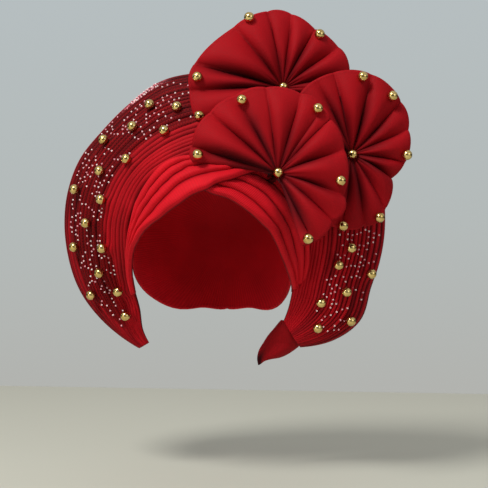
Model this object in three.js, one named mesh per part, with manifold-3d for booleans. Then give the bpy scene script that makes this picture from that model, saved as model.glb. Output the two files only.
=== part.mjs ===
// A tied gele: a pleated head tie with a turban wrapped over the forehead, a pleated halo round the head,
// three gathered fan rosettes, a short tie end and gold beads. Millimetres, +X right, -Y front, +Z up.
// The origin is the inside of the crown, where the top of the head sits.
import * as THREE from "three";
import { mergeVertices } from "three/addons/utils/BufferGeometryUtils.js";
import Module from "manifold-3d";

const wasm = await Module();
wasm.setup();

// Driving dimensions

// The hollow that the head fills: half sizes from its widest level, up to the crown and down to the neck
const HEAD = { halfWidth: 72, halfDepth: 92, crown: 78, neck: 125 };
const CLOTH_WALL = 2;
const CLEARANCE = 0.8;
const SEAT_GAP = 0.3;
// The cap's cloth stands this far off the head
const CAP_EASE = 1;
const WRAP = { bands: 5, foldHeight: 3.2, crossOver: 5.8 };
const WING = { reach: 145, setBack: 14, standOff: 19, arch: 7, pleats: 16, pleatHeight: 4, rimRoll: 6 };
const ROSETTE = { radius: 72, hubRadius: 3.6, neckRadius: 9, neckSink: 2.5, hubRecess: 6, lobeHeight: 9 };
const TIE = { length: 43, width: 34, ripple: 3 };
const BEAD_RADIUS = 4.5;

// Cloth that stands on the head starts here, measured from the head to the middle of its wall
const CAP_LIFT = CAP_EASE + CLOTH_WALL / 2;
const WRAP_LIFT = CAP_LIFT + CLOTH_WALL + CLEARANCE;

// Rim of the cap: lean of its edge at each turn round the face
const CAP_RIM = [
  { turn: -180, lean: -54 },
  { turn: -150, lean: -48 },
  { turn: -125, lean: -22 },
  { turn: -112, lean: 2 },
  { turn: -103, lean: 20 },
  { turn: -92, lean: 38 },
  { turn: -75, lean: 54 },
  { turn: -40, lean: 60 },
  { turn: 0, lean: 60 },
  { turn: 45, lean: 56 },
  { turn: 75, lean: 44 },
  { turn: 92, lean: 32 },
  { turn: 103, lean: 16 },
  { turn: 112, lean: -2 },
  { turn: 125, lean: -22 },
  { turn: 150, lean: -48 },
  { turn: 180, lean: -54 },
];

// Left wrap, which passes over: from the left temple across the forehead to the right rosette.
// near is the edge at the face, far the edge at the pleated wing, raise a share of WRAP.crossOver
const LEFT_WRAP = [
  { nearTurn: -101, nearLean: 37, farTurn: -99, farLean: 29, raise: 0 },
  { nearTurn: -95, nearLean: 47, farTurn: -90, farLean: 36, raise: 0 },
  { nearTurn: -86, nearLean: 58, farTurn: -76, farLean: 39, raise: 0 },
  { nearTurn: -68, nearLean: 68, farTurn: -61, farLean: 39, raise: 0 },
  { nearTurn: -30, nearLean: 73, farTurn: -46, farLean: 41, raise: 0.4 },
  { nearTurn: 12, nearLean: 69, farTurn: -28, farLean: 44, raise: 1 },
  { nearTurn: 31, nearLean: 55, farTurn: -8, farLean: 46, raise: 1 },
  { nearTurn: 38, nearLean: 40, farTurn: 10, farLean: 41, raise: 1 },
  { nearTurn: 42, nearLean: 24, farTurn: 20, farLean: 30, raise: 1 },
];

// Right wrap, which passes under: from below the left wrap down to a point at the right ear
const RIGHT_WRAP = [
  { nearTurn: 2, nearLean: 66, farTurn: 12, farLean: 46, raise: 0 },
  { nearTurn: 26, nearLean: 67, farTurn: 34, farLean: 42, raise: 0 },
  { nearTurn: 48, nearLean: 63, farTurn: 46, farLean: 34, raise: 0 },
  { nearTurn: 68, nearLean: 57, farTurn: 57, farLean: 26, raise: 0 },
  { nearTurn: 84, nearLean: 48, farTurn: 72, farLean: 17, raise: 0 },
  { nearTurn: 96, nearLean: 36, farTurn: 87, farLean: 7, raise: 0 },
  { nearTurn: 104, nearLean: 25, farTurn: 97, farLean: 0, raise: 0 },
  { nearTurn: 110, nearLean: 12, farTurn: 105, farLean: -4, raise: 0 },
  { nearTurn: 115, nearLean: -3, farTurn: 113, farLean: -7, raise: 0 },
];

// Pleated wing, from the left tip over the head to the tie end. The inner edge lies on the head at
// turn and lean, lifted by a share of WING.standOff; the outer edge by shares of WING.reach and WING.setBack
const WING_SECTIONS = [
  { turn: -136, lean: -6, lift: 1.0, outerTurn: -146, reach: 0.89, back: 1.0 },
  { turn: -130, lean: -3, lift: 0.83, outerTurn: -137, reach: 0.91, back: 1.0 },
  { turn: -122, lean: 1, lift: 0.45, outerTurn: -125, reach: 0.95, back: 1.1 },
  { turn: -113, lean: 8, lift: 0.3, outerTurn: -113, reach: 0.97, back: 1.3 },
  { turn: -104, lean: 20, lift: 0.2, outerTurn: -99, reach: 0.98, back: 1.4 },
  { turn: -94, lean: 29, lift: 0.25, outerTurn: -87, reach: 1.0, back: 1.4 },
  { turn: -78, lean: 37, lift: 0.3, outerTurn: -76, reach: 1.01, back: 1.3 },
  { turn: -64, lean: 39, lift: 0.3, outerTurn: -63, reach: 1.0, back: 1.1 },
  { turn: -47, lean: 42, lift: 0.35, outerTurn: -49, reach: 0.97, back: 1.0 },
  { turn: -30, lean: 45, lift: 0.4, outerTurn: -34, reach: 0.99, back: 1.0 },
  { turn: -11, lean: 45, lift: 0.45, outerTurn: -18, reach: 1.0, back: 1.0 },
  { turn: 8, lean: 42, lift: 0.6, outerTurn: -4, reach: 0.99, back: 1.0 },
  { turn: 27, lean: 35, lift: 0.72, outerTurn: 12, reach: 1.0, back: 1.0 },
  { turn: 46, lean: 26, lift: 0.85, outerTurn: 31, reach: 1.03, back: 1.0 },
  { turn: 64, lean: 21, lift: 0.85, outerTurn: 50, reach: 1.05, back: 1.0 },
  { turn: 79, lean: 16, lift: 0.6, outerTurn: 68, reach: 1.07, back: 1.0 },
  { turn: 91, lean: 13, lift: 0.42, outerTurn: 85, reach: 1.06, back: 1.0 },
  { turn: 97, lean: 9, lift: 0.35, outerTurn: 94, reach: 1.05, back: 1.0 },
  { turn: 103, lean: 5, lift: 0.3, outerTurn: 103, reach: 1.04, back: 1.0 },
  { turn: 109, lean: 2, lift: 0.3, outerTurn: 111, reach: 1.03, back: 1.0 },
  { turn: 116, lean: 0, lift: 0.35, outerTurn: 122, reach: 1.04, back: 1.0 },
  { turn: 122, lean: -2, lift: 0.4, outerTurn: 133, reach: 0.98, back: 1.0 },
  { turn: 128, lean: -3, lift: 0.42, outerTurn: 144, reach: 0.9, back: 1.1 },
];

// Rosettes: a row for each pressed fold, counted from the first edge of the fan. fold is its angle from
// the right, reach its rim and crest the rim of the lobe after it, both as shares of ROSETTE.radius
const FRONT_FOLDS = [
  { fold: 173, reach: 1, crest: 1.05 },
  { fold: 163, reach: 1.04, crest: 1.07 },
  { fold: 139, reach: 1.05, crest: 1.05 },
  { fold: 118, reach: 1.025, crest: 1.03 },
  { fold: 98, reach: 1, crest: 0.99 },
  { fold: 73, reach: 0.96, crest: 0.97 },
  { fold: 55, reach: 0.92, crest: 0.91 },
  { fold: 46, reach: 0.87, crest: 0.85 },
  { fold: 18, reach: 0.81, crest: 0.8 },
  { fold: -21, reach: 0.8, crest: 0.88 },
  { fold: -43, reach: 0.83, crest: 0.9 },
  { fold: -65, reach: 0.91, crest: 0.91 },
  { fold: -73, reach: 0.9, crest: 0.9 },
];
const TOP_FOLDS = [
  { fold: 204, reach: 1.15, crest: 1.15 },
  { fold: 183, reach: 1.14, crest: 1.14 },
  { fold: 165, reach: 1.06, crest: 0.96 },
  { fold: 129, reach: 0.935, crest: 0.94 },
  { fold: 101, reach: 0.945, crest: 0.945 },
  { fold: 82, reach: 0.9, crest: 0.855 },
  { fold: 61, reach: 0.815, crest: 0.825 },
  { fold: 35, reach: 0.84, crest: 0.84 },
  { fold: 8, reach: 0.81, crest: 0.81 },
  { fold: -22, reach: 0.78, crest: 0.78 },
];
const RIGHT_FOLDS = [
  { fold: 137, reach: 0.95, crest: 0.98 },
  { fold: 118, reach: 0.99, crest: 0.99 },
  { fold: 105, reach: 0.99, crest: 0.99 },
  { fold: 77, reach: 0.975, crest: 0.935 },
  { fold: 47, reach: 0.875, crest: 0.835 },
  { fold: 23, reach: 0.75, crest: 0.71 },
  { fold: -8, reach: 0.65, crest: 0.6 },
  { fold: -32, reach: 0.55, crest: 0.66 },
  { fold: -60, reach: 0.77, crest: 0.865 },
  { fold: -82, reach: 0.865, crest: 0.905 },
  { fold: -100, reach: 0.89, crest: 0.91 },
  { fold: -119, reach: 0.9, crest: 0.9 },
];

// Beads on each rosette, by angle and by share of ROSETTE.radius
const FRONT_BEADS = [
  { angle: 117, reach: 0.93 },
  { angle: 58, reach: 0.86 },
  { angle: 169, reach: 0.95 },
  { angle: -10, reach: 0.71 },
  { angle: -68, reach: 0.85 },
];
const TOP_BEADS = [
  { angle: 117, reach: 0.92 },
  { angle: 55, reach: 0.76 },
  { angle: 176, reach: 1.05 },
  { angle: 201, reach: 1.1 },
];
const RIGHT_BEADS = [
  { angle: 85, reach: 0.91 },
  { angle: 57, reach: 0.82 },
  { angle: -1, reach: 0.63 },
  { angle: -69, reach: 0.81 },
  { angle: -100, reach: 0.87 },
];

// Beads on the wing: along is the share of the way from the left tip to the tie end, across from the
// inner edge to the rim
const WING_BEADS = [
  { along: 0.086, across: 0.18 },
  { along: 0.134, across: 0.13 },
  { along: 0.133, across: 0.59 },
  { along: 0.166, across: 0.32 },
  { along: 0.207, across: 0.22 },
  { along: 0.2, across: 0.65 },
  { along: 0.238, across: 0.42 },
  { along: 0.281, across: 0.28 },
  { along: 0.282, across: 0.68 },
  { along: 0.322, across: 0.44 },
  { along: 0.36, across: 0.26 },
  { along: 0.358, across: 0.67 },
  { along: 0.398, across: 0.5 },
  { along: 0.429, across: 0.62 },
  { along: 0.434, across: 0.26 },
  { along: 0.46, across: 0.45 },
  { along: 0.778, across: 0.55 },
  { along: 0.814, across: 0.45 },
  { along: 0.829, across: 0.89 },
  { along: 0.871, across: 0.66 },
  { along: 0.9, across: 0.38 },
  { along: 0.913, across: 0.9 },
  { along: 0.949, across: 0.6 },
];

// Tie end: a row from the seam down, its left and right edges as shares of TIE.width from the seam's top
// and their drops as shares of TIE.length
const TIE_ROWS = [
  { left: 0.0, leftDrop: 0.0, right: 0.14, rightDrop: 0.02 },
  { left: -0.2, leftDrop: 0.2, right: 0.3, rightDrop: 0.2 },
  { left: -0.4, leftDrop: 0.38, right: 0.48, rightDrop: 0.42 },
  { left: -0.52, leftDrop: 0.55, right: 0.56, rightDrop: 0.57 },
  { left: -0.58, leftDrop: 0.72, right: 0.2, rightDrop: 0.76 },
  { left: -0.6, leftDrop: 0.87, right: -0.2, rightDrop: 0.9 },
  { left: -0.6, leftDrop: 1.0, right: -0.5, rightDrop: 0.97 },
];

const RED = { turban: 0xc8192a, wing: 0x8c0a1c, rosette: 0xa31020, gold: 0xc9a24a };

// Shapes shared by the pieces

// Points closer than this are one
const WELD = 1e-3;

const radians = THREE.MathUtils.degToRad;
const mix = THREE.MathUtils.lerp;
const vector = (x, y, z) => new THREE.Vector3(x, y, z);

// A point over the head: turn goes round the face from the top, lean from the side of the head to its front
function overHead(turn, lean, lift) {
  const around = Math.cos(radians(lean));
  const up = Math.cos(radians(turn));
  const height = (up >= 0 ? HEAD.crown : HEAD.neck) + lift;
  return vector(
    (HEAD.halfWidth + lift) * around * Math.sin(radians(turn)),
    -(HEAD.halfDepth + lift) * Math.sin(radians(lean)),
    height * around * up,
  );
}

// The value of a column at a share of the way down a table, with smooth bends through its rows
function smoothColumn(table, column, share) {
  const last = table.length - 1;
  const at = THREE.MathUtils.clamp(share, 0, 1) * last;
  const i = Math.min(Math.floor(at), last - 1);
  const t = at - i;
  const row = (k) => table[THREE.MathUtils.clamp(k, 0, last)][column];
  const [a, b, c, d] = [row(i - 1), row(i), row(i + 1), row(i + 2)];
  return b + 0.5 * t * (c - a + t * (2 * a - 5 * b + 4 * c - d + t * (3 * (b - c) + d - a)));
}

// A sheet of cloth as a closed wall: place(column, row) gives the middle of the wall. grow makes it larger
// on every side, for the room that it needs in its neighbours
function clothWall(columns, rows, place, { grow = 0, normal = null, loop = false } = {}) {
  const middle = columns.map((u) => rows.map((v) => place(u, v)));
  const wide = columns.length;
  const high = rows.length;
  const wall = CLOTH_WALL + 2 * grow;
  if (!loop) spread(middle[0], middle[1], grow);
  if (!loop) spread(middle[wide - 1], middle[wide - 2], grow);
  spread(middle.map((column) => column[0]), middle.map((column) => column[1]), grow);
  spread(middle.map((column) => column[high - 1]), middle.map((column) => column[high - 2]), grow);
  const gridNormal = (i, j) => {
    const left = loop ? (i + wide - 1) % wide : Math.max(i - 1, 0);
    const right = loop ? (i + 1) % wide : Math.min(i + 1, wide - 1);
    const alongU = middle[right][j].clone().sub(middle[left][j]);
    const alongV = middle[i][Math.min(j + 1, high - 1)].clone().sub(middle[i][Math.max(j - 1, 0)]);
    return alongU.cross(alongV).normalize();
  };
  const points = [];
  for (const side of [0.5, -0.5]) {
    for (let i = 0; i < wide; i++) {
      for (let j = 0; j < high; j++) {
        const n = normal ? normal(columns[i], rows[j]) : gridNormal(i, j);
        const p = middle[i][j].clone().addScaledVector(n, side * wall);
        points.push(p.x, p.y, p.z);
      }
    }
  }
  const faces = [];
  const at = (side, i, j) => side * wide * high + (i % wide) * high + j;
  const quad = (a, b, c, d) => faces.push(a, b, c, a, c, d);
  const spans = loop ? wide : wide - 1;
  for (let i = 0; i < spans; i++) {
    for (let j = 0; j < high - 1; j++) {
      quad(at(0, i, j), at(0, i + 1, j), at(0, i + 1, j + 1), at(0, i, j + 1));
      quad(at(1, i, j), at(1, i, j + 1), at(1, i + 1, j + 1), at(1, i + 1, j));
    }
    quad(at(1, i, 0), at(1, i + 1, 0), at(0, i + 1, 0), at(0, i, 0));
    quad(at(0, i, high - 1), at(0, i + 1, high - 1), at(1, i + 1, high - 1), at(1, i, high - 1));
  }
  if (!loop) {
    for (let j = 0; j < high - 1; j++) {
      quad(at(1, 0, j + 1), at(1, 0, j), at(0, 0, j), at(0, 0, j + 1));
      quad(at(0, wide - 1, j + 1), at(0, wide - 1, j), at(1, wide - 1, j), at(1, wide - 1, j + 1));
    }
  }
  return closedGeometry(points, faces);
}

// Moves an edge away from the line of points inside it
function spread(edge, inside, distance) {
  edge.forEach((point, k) => {
    const outward = point.clone().sub(inside[k]);
    if (outward.length() > 0) point.addScaledVector(outward.normalize(), distance);
  });
}

// A geometry of merged points, without empty faces, with its faces pointing out
function closedGeometry(points, faces) {
  const loose = new THREE.BufferGeometry();
  loose.setAttribute("position", new THREE.Float32BufferAttribute(points, 3));
  loose.setIndex(faces);
  const geometry = mergeVertices(loose, WELD);
  const kept = [];
  const index = geometry.index.array;
  for (let k = 0; k < index.length; k += 3) {
    const [a, b, c] = [index[k], index[k + 1], index[k + 2]];
    if (a !== b && b !== c && c !== a) kept.push(a, b, c);
  }
  if (volumeOf(geometry.attributes.position, kept) < 0) kept.reverse();
  geometry.setIndex(kept);
  geometry.computeVertexNormals();
  return geometry;
}

function volumeOf(position, faces) {
  const corner = (k) => vector().fromBufferAttribute(position, faces[k]);
  let volume = 0;
  for (let k = 0; k < faces.length; k += 3) volume += corner(k).dot(corner(k + 1).cross(corner(k + 2))) / 6;
  return volume;
}

// Shares from 0 to 1 in equal steps
const steps = (count) => Array.from({ length: count + 1 }, (_, i) => i / count);

// Shares from 0 to 1 with the given places in each of count repeats
function repeats(count, places) {
  const shares = [];
  for (let i = 0; i < count; i++) for (const place of places) shares.push((i + place) / count);
  return [...shares, 1];
}

// Solid cuts

function toSolid(geometry) {
  const bare = geometry.clone();
  for (const name of Object.keys(bare.attributes)) if (name !== "position") bare.deleteAttribute(name);
  const merged = mergeVertices(bare, WELD / 10);
  return new wasm.Manifold(
    new wasm.Mesh({
      numProp: 3,
      vertProperties: new Float32Array(merged.attributes.position.array),
      triVerts: new Uint32Array(merged.index.array),
    }),
  );
}

// The geometry less the given solids; of what is left, the largest piece
function cutBack(geometry, cutters) {
  let solid = toSolid(geometry);
  for (const cutter of cutters) solid = solid.subtract(toSolid(cutter));
  const pieces = solid.decompose().sort((a, b) => b.volume() - a.volume());
  const mesh = pieces[0].getMesh();
  return closedGeometry(Array.from(mesh.vertProperties), Array.from(mesh.triVerts));
}

// Cap: the plain cloth over the crown and the back of the head

function headNormal(turn, lean, lift) {
  const p = overHead(turn, lean, lift);
  const height = (p.z >= 0 ? HEAD.crown : HEAD.neck) + lift;
  return vector(
    p.x / (HEAD.halfWidth + lift) ** 2,
    p.y / (HEAD.halfDepth + lift) ** 2,
    p.z / height ** 2,
  ).normalize();
}

function capEdge(turn) {
  const next = CAP_RIM.findIndex((row) => row.turn >= turn);
  const b = CAP_RIM[Math.max(next, 1)];
  const a = CAP_RIM[Math.max(next, 1) - 1];
  return mix(a.lean, b.lean, (turn - a.turn) / (b.turn - a.turn));
}

const CAP_COLUMNS = 20;
const CAP_ROWS = 8;
const BACK_OF_HEAD = -90;

function capGeometry(grow = 0) {
  const turns = Array.from({ length: CAP_COLUMNS }, (_, i) => -180 + (360 * i) / CAP_COLUMNS);
  const leanAt = (turn, share) => mix(BACK_OF_HEAD, capEdge(turn), share);
  const place = (turn, share) => overHead(turn, leanAt(turn, share), CAP_LIFT);
  const normal = (turn, share) => headNormal(turn, leanAt(turn, share), CAP_LIFT);
  return clothWall(turns, steps(CAP_ROWS), place, { grow, normal, loop: true });
}

// Wraps: bands of folded cloth over the forehead

// Height of one fold across its band: it swells from the tuck at its lower edge and falls off to the next
const FOLD_PLACES = [0, 0.28, 0.7];
const QUARTER_TURN = Math.PI / 2;

function foldHeight(share) {
  const crest = FOLD_PLACES[1];
  if (share < crest) return Math.sin((share / crest) * QUARTER_TURN);
  return Math.cos(((share - crest) / (1 - crest)) * QUARTER_TURN);
}

const WRAP_COLUMNS = 10;

function wrapGeometry(table, grow = 0) {
  const columns = steps(WRAP_COLUMNS);
  const rows = repeats(WRAP.bands, FOLD_PLACES);
  const spot = (u, v) => ({
    turn: mix(smoothColumn(table, "nearTurn", u), smoothColumn(table, "farTurn", u), v),
    lean: mix(smoothColumn(table, "nearLean", u), smoothColumn(table, "farLean", u), v),
  });
  const lift = (u, v) => {
    const inBand = v >= 1 ? 0 : (v * WRAP.bands) % 1;
    const raise = WRAP.crossOver * smoothColumn(table, "raise", u);
    return WRAP_LIFT + raise + WRAP.foldHeight * foldHeight(inBand);
  };
  const place = (u, v) => {
    const { turn, lean } = spot(u, v);
    return overHead(turn, lean, lift(u, v));
  };
  const normal = (u, v) => {
    const { turn, lean } = spot(u, v);
    return headNormal(turn, lean, WRAP_LIFT);
  };
  return clothWall(columns, rows, place, { grow, normal });
}

// Pleated wing

function wingEdges(along) {
  const value = (column) => smoothColumn(WING_SECTIONS, column, along);
  const inner = overHead(value("turn"), value("lean"), WING.standOff * value("lift"));
  const reach = WING.reach * value("reach");
  const turn = radians(value("outerTurn"));
  const outer = vector(reach * Math.sin(turn), WING.setBack * value("back"), reach * Math.cos(turn));
  return { inner, outer };
}

// Away from the wearer's head and face, square to the slope of the wing
function wingNormal(along) {
  const { inner, outer } = wingEdges(along);
  const slope = outer.clone().sub(inner);
  const outward = vector(inner.x + outer.x, 0, inner.z + outer.z).normalize();
  const round = vector(outward.z, 0, -outward.x);
  return slope.cross(round).normalize().multiplyScalar(-1);
}

function wingPlace(along, across, relief = 0) {
  const { inner, outer } = wingEdges(along);
  const arch = WING.arch * Math.sin(Math.PI * across);
  const rollStart = 1 - 1 / WING.pleats;
  const roll = WING.rimRoll * Math.max(0, (across - rollStart) / (1 - rollStart));
  const p = inner.clone().lerp(outer, across).addScaledVector(wingNormal(along), arch + relief);
  p.y += roll;
  return p;
}

// A pleat rises to its pressed edge and drops steeply to the next one
const PLEAT_PLACES = [0, 0.7];

function wingGeometry(grow = 0) {
  const rows = repeats(WING.pleats, PLEAT_PLACES);
  const nominalPitch = (WING.reach - HEAD.halfWidth) / WING.pleats;
  const relief = (u, v) => {
    const { inner, outer } = wingEdges(u);
    const pitch = inner.distanceTo(outer) / WING.pleats;
    const inPleat = v >= 1 ? 0 : (v * WING.pleats) % 1;
    const rise = Math.min(inPleat / PLEAT_PLACES[1], (1 - inPleat) / (1 - PLEAT_PLACES[1]));
    return WING.pleatHeight * Math.min(1, pitch / nominalPitch) * rise;
  };
  const place = (u, v) => wingPlace(u, v, relief(u, v));
  return clothWall(steps(WING_SECTIONS.length - 1), rows, place, { grow, normal: wingNormal });
}

// Rosettes

// seat is the point that the neck stands on, stand the way from there to the hub in shares of ROSETTE.radius
const ROSETTES = [
  {
    name: "rosette_front",
    seat: overHead(55, 31, WRAP_LIFT + WRAP.foldHeight),
    stand: vector(0.146, -0.325, 0.067),
    yaw: 12,
    pitch: 8,
    folds: FRONT_FOLDS,
    beads: FRONT_BEADS,
  },
  {
    name: "rosette_top",
    seat: wingPlace(0.59, 0.55),
    stand: vector(-0.058, -0.124, 0.322),
    yaw: 14,
    pitch: 8,
    folds: TOP_FOLDS,
    beads: TOP_BEADS,
  },
  {
    name: "rosette_right",
    seat: wingPlace(0.67, 0.72),
    stand: vector(0.032, -0.407, 0.106),
    yaw: 20,
    pitch: 0,
    folds: RIGHT_FOLDS,
    beads: RIGHT_BEADS,
  },
];

function rosetteFrame({ seat, stand, yaw, pitch }) {
  const turn = radians(yaw);
  const tilt = radians(pitch);
  const facing = vector(
    Math.sin(turn) * Math.cos(tilt),
    -Math.cos(turn) * Math.cos(tilt),
    Math.sin(tilt),
  );
  const right = vector(Math.cos(turn), Math.sin(turn), 0);
  const up = right.clone().cross(facing).multiplyScalar(-1);
  return { hub: seat.clone().addScaledVector(stand, ROSETTE.radius), facing, right, up };
}

// A point of the fan at an angle and a distance from its hub, raised towards the front
function fanPoint({ hub, facing, right, up }, angle, distance, height) {
  return hub
    .clone()
    .addScaledVector(right, distance * Math.cos(radians(angle)))
    .addScaledVector(up, distance * Math.sin(radians(angle)))
    .addScaledVector(facing, height);
}

const LOBE_PLACES = [0, 0.3, 0.7];
const FAN_ROWS = [0.3, 0.65, 1];
// Lobes this wide, in degrees, or wider stand at their full height
const FULL_LOBE = 26;

function fanRim(folds, along) {
  const at = along * (folds.length - 1);
  const i = Math.min(Math.floor(at), folds.length - 2);
  const share = at - i;
  const [a, b] = [folds[i], folds[i + 1]];
  const bulge = 4 * share * (1 - share) * (a.crest - (a.reach + b.reach) / 2);
  return {
    angle: mix(a.fold, b.fold, share),
    reach: ROSETTE.radius * (mix(a.reach, b.reach, share) + bulge),
    puff: Math.sin(Math.PI * share) * Math.min(1, Math.abs(b.fold - a.fold) / FULL_LOBE),
  };
}

// Lobes are tallest half way out and keep a share of their height at the rim
const RIM_PUFF = 0.4;
const MIDDLE_PUFF = 0.75;
const lobeShare = (out) => 4 * MIDDLE_PUFF * out * (1 - out) + RIM_PUFF * out;

function rosetteGeometry(rosette) {
  const frame = rosetteFrame(rosette);
  const { folds, seat, stand } = rosette;
  const sunk = seat.clone().addScaledVector(stand.clone().normalize(), -ROSETTE.neckSink);
  const neck = { ...frame, hub: sunk };
  const place = (along, row) => {
    const rim = fanRim(folds, along);
    if (row < 0) return fanPoint(neck, rim.angle, ROSETTE.neckRadius, 0);
    const distance = mix(ROSETTE.hubRadius, rim.reach, row);
    const height = ROSETTE.lobeHeight * rim.puff * lobeShare(row) - ROSETTE.hubRecess * (1 - row) ** 2;
    return fanPoint(frame, rim.angle, distance, height);
  };
  const columns = repeats(folds.length - 1, LOBE_PLACES);
  return clothWall(columns, [-1, 0, ...FAN_ROWS], place);
}

// Tie end: the short flap that comes out under the end of the wing

const TIE_COLUMNS = 4;

function tieGeometry() {
  const top = wingPlace(1, 0);
  const foot = wingPlace(1, 1);
  const place = (across, down) => {
    const value = (column) => smoothColumn(TIE_ROWS, column, down);
    const side = mix(value("left"), value("right"), across);
    const drop = mix(value("leftDrop"), value("rightDrop"), across);
    const back = (foot.y - top.y) * across * Math.min(1, 2 * down);
    const ripple = TIE.ripple * Math.sin(4 * QUARTER_TURN * across) * Math.sin(2 * QUARTER_TURN * down);
    return top.clone().add(vector(TIE.width * side, back + ripple, -TIE.length * drop));
  };
  const squareOn = vector(0, 1, 0);
  return clothWall(steps(TIE_COLUMNS), steps(TIE_ROWS.length - 1), place, { normal: () => squareOn });
}

// Beads

function trianglesOf(geometry) {
  const { position } = geometry.attributes;
  const index = geometry.index.array;
  const corner = (k) => vector().fromBufferAttribute(position, index[k]);
  const triangles = [];
  for (let k = 0; k < index.length; k += 3) {
    triangles.push(new THREE.Triangle(corner(k), corner(k + 1), corner(k + 2)));
  }
  return triangles;
}

// Slides a ball in from outside until it rests, at the seat gap, on the cloth that it is aimed at
const BALL_TRAVEL = 30;
const BALL_TOUCH = 0.005;

function restBall(target, direction, triangles) {
  const centre = target.clone().addScaledVector(direction, -BALL_TRAVEL);
  const around = triangles.filter((t) => t.getMidpoint(vector()).distanceTo(target) < 2 * BALL_TRAVEL);
  const nearest = vector();
  for (let travelled = 0, gap = 1; gap > BALL_TOUCH && travelled < 2 * BALL_TRAVEL; travelled += gap) {
    gap = 2 * BALL_TRAVEL;
    for (const triangle of around) {
      triangle.closestPointToPoint(centre, nearest);
      gap = Math.min(gap, nearest.distanceTo(centre) - BEAD_RADIUS - SEAT_GAP);
    }
    centre.addScaledVector(direction, gap);
  }
  return centre;
}

// The object

const cloth = (color) => new THREE.MeshStandardMaterial({ color, roughness: 0.85, metalness: 0 });
const gold = () => new THREE.MeshStandardMaterial({ color: RED.gold, roughness: 0.25, metalness: 1 });

const gele = new THREE.Group();
// The tables are set out from the widest level of the head, and the crown lies above it
const aboutHead = new THREE.Group();
aboutHead.position.z = -HEAD.crown;
gele.add(aboutHead);

function addPiece(name, geometry, material) {
  const mesh = new THREE.Mesh(geometry, material);
  mesh.name = name;
  aboutHead.add(mesh);
  return mesh;
}

let beadCount = 0;
function addBead(target, direction, triangles) {
  beadCount += 1;
  const name = `bead_${String(beadCount).padStart(2, "0")}`;
  const bead = addPiece(name, mergeVertices(new THREE.IcosahedronGeometry(BEAD_RADIUS, 1)), gold());
  bead.position.copy(restBall(target, direction, triangles));
}

addPiece("cap", capGeometry(), cloth(RED.turban));
addPiece("wrap_left", wrapGeometry(LEFT_WRAP), cloth(RED.turban));
addPiece("wrap_right", wrapGeometry(RIGHT_WRAP), cloth(RED.turban));

const turbanRoom = [wrapGeometry(LEFT_WRAP, SEAT_GAP), wrapGeometry(RIGHT_WRAP, SEAT_GAP)];
const capRoom = capGeometry(SEAT_GAP);
const wing = cutBack(wingGeometry(), [...turbanRoom, capRoom]);
addPiece("pleated_wing", wing, cloth(RED.wing));

const wingRoom = wingGeometry(SEAT_GAP);
addPiece("tie_end", cutBack(tieGeometry(), [wingRoom]), cloth(RED.turban));

const wingTriangles = trianglesOf(wing);
for (const rosette of ROSETTES) {
  const geometry = cutBack(rosetteGeometry(rosette), [...turbanRoom, capRoom, wingRoom]);
  addPiece(rosette.name, geometry, cloth(RED.rosette));
  const triangles = trianglesOf(geometry);
  const frame = rosetteFrame(rosette);
  const inward = frame.facing.clone().negate();
  addBead(frame.hub, inward, triangles);
  for (const { angle, reach } of rosette.beads) {
    addBead(fanPoint(frame, angle, ROSETTE.radius * reach, 0), inward, triangles);
  }
}
for (const { along, across } of WING_BEADS) {
  addBead(wingPlace(along, across), wingNormal(along).negate(), wingTriangles);
}

export default gele;
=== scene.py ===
# %% [markdown]
# # A tied gele in Blender
# A gele is a long stiff cloth tied round the head. This one is tied once and kept: a plain cap, two wraps
# that cross over the forehead, a pleated wing that stands round the head, three gathered fans, a short tie
# end and gold beads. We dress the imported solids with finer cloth, piece by piece, in the same places.

# %% Load the fixed frame
import math
import random
from collections import namedtuple

import bmesh
import bpy
from mathutils import Matrix, Vector, noise


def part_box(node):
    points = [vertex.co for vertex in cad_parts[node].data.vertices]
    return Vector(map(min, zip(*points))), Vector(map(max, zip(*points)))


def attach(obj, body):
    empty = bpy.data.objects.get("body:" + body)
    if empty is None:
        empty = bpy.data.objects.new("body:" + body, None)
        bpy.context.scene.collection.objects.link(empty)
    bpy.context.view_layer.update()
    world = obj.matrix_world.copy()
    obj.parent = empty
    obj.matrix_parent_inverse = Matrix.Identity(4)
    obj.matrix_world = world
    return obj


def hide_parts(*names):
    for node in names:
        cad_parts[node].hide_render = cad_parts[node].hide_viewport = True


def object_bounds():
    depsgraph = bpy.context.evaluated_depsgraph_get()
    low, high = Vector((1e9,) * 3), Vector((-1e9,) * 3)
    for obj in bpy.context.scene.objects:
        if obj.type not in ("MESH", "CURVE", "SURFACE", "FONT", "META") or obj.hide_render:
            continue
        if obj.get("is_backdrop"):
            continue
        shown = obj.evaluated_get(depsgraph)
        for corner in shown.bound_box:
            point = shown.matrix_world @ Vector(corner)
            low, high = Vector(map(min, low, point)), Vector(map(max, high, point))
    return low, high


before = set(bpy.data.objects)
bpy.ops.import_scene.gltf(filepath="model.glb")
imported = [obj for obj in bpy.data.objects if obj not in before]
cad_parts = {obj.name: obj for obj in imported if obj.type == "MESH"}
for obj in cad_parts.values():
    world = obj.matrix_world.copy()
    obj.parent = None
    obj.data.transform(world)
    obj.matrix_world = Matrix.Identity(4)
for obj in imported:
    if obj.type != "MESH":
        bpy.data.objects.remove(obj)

cad_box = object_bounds()
print("solids loaded:", len(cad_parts), "box", [tuple(round(c, 3) for c in p) for p in cad_box])

# %% [markdown]
# ## Sizes
# The cloth stands on a head, so its places are counted from the middle of that head, in millimetres: how far
# round the face, how far towards the front, and how far off the skin. One function turns those into a point.
# The solids were laid out in the same way, so the fine cloth falls close to them.

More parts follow.
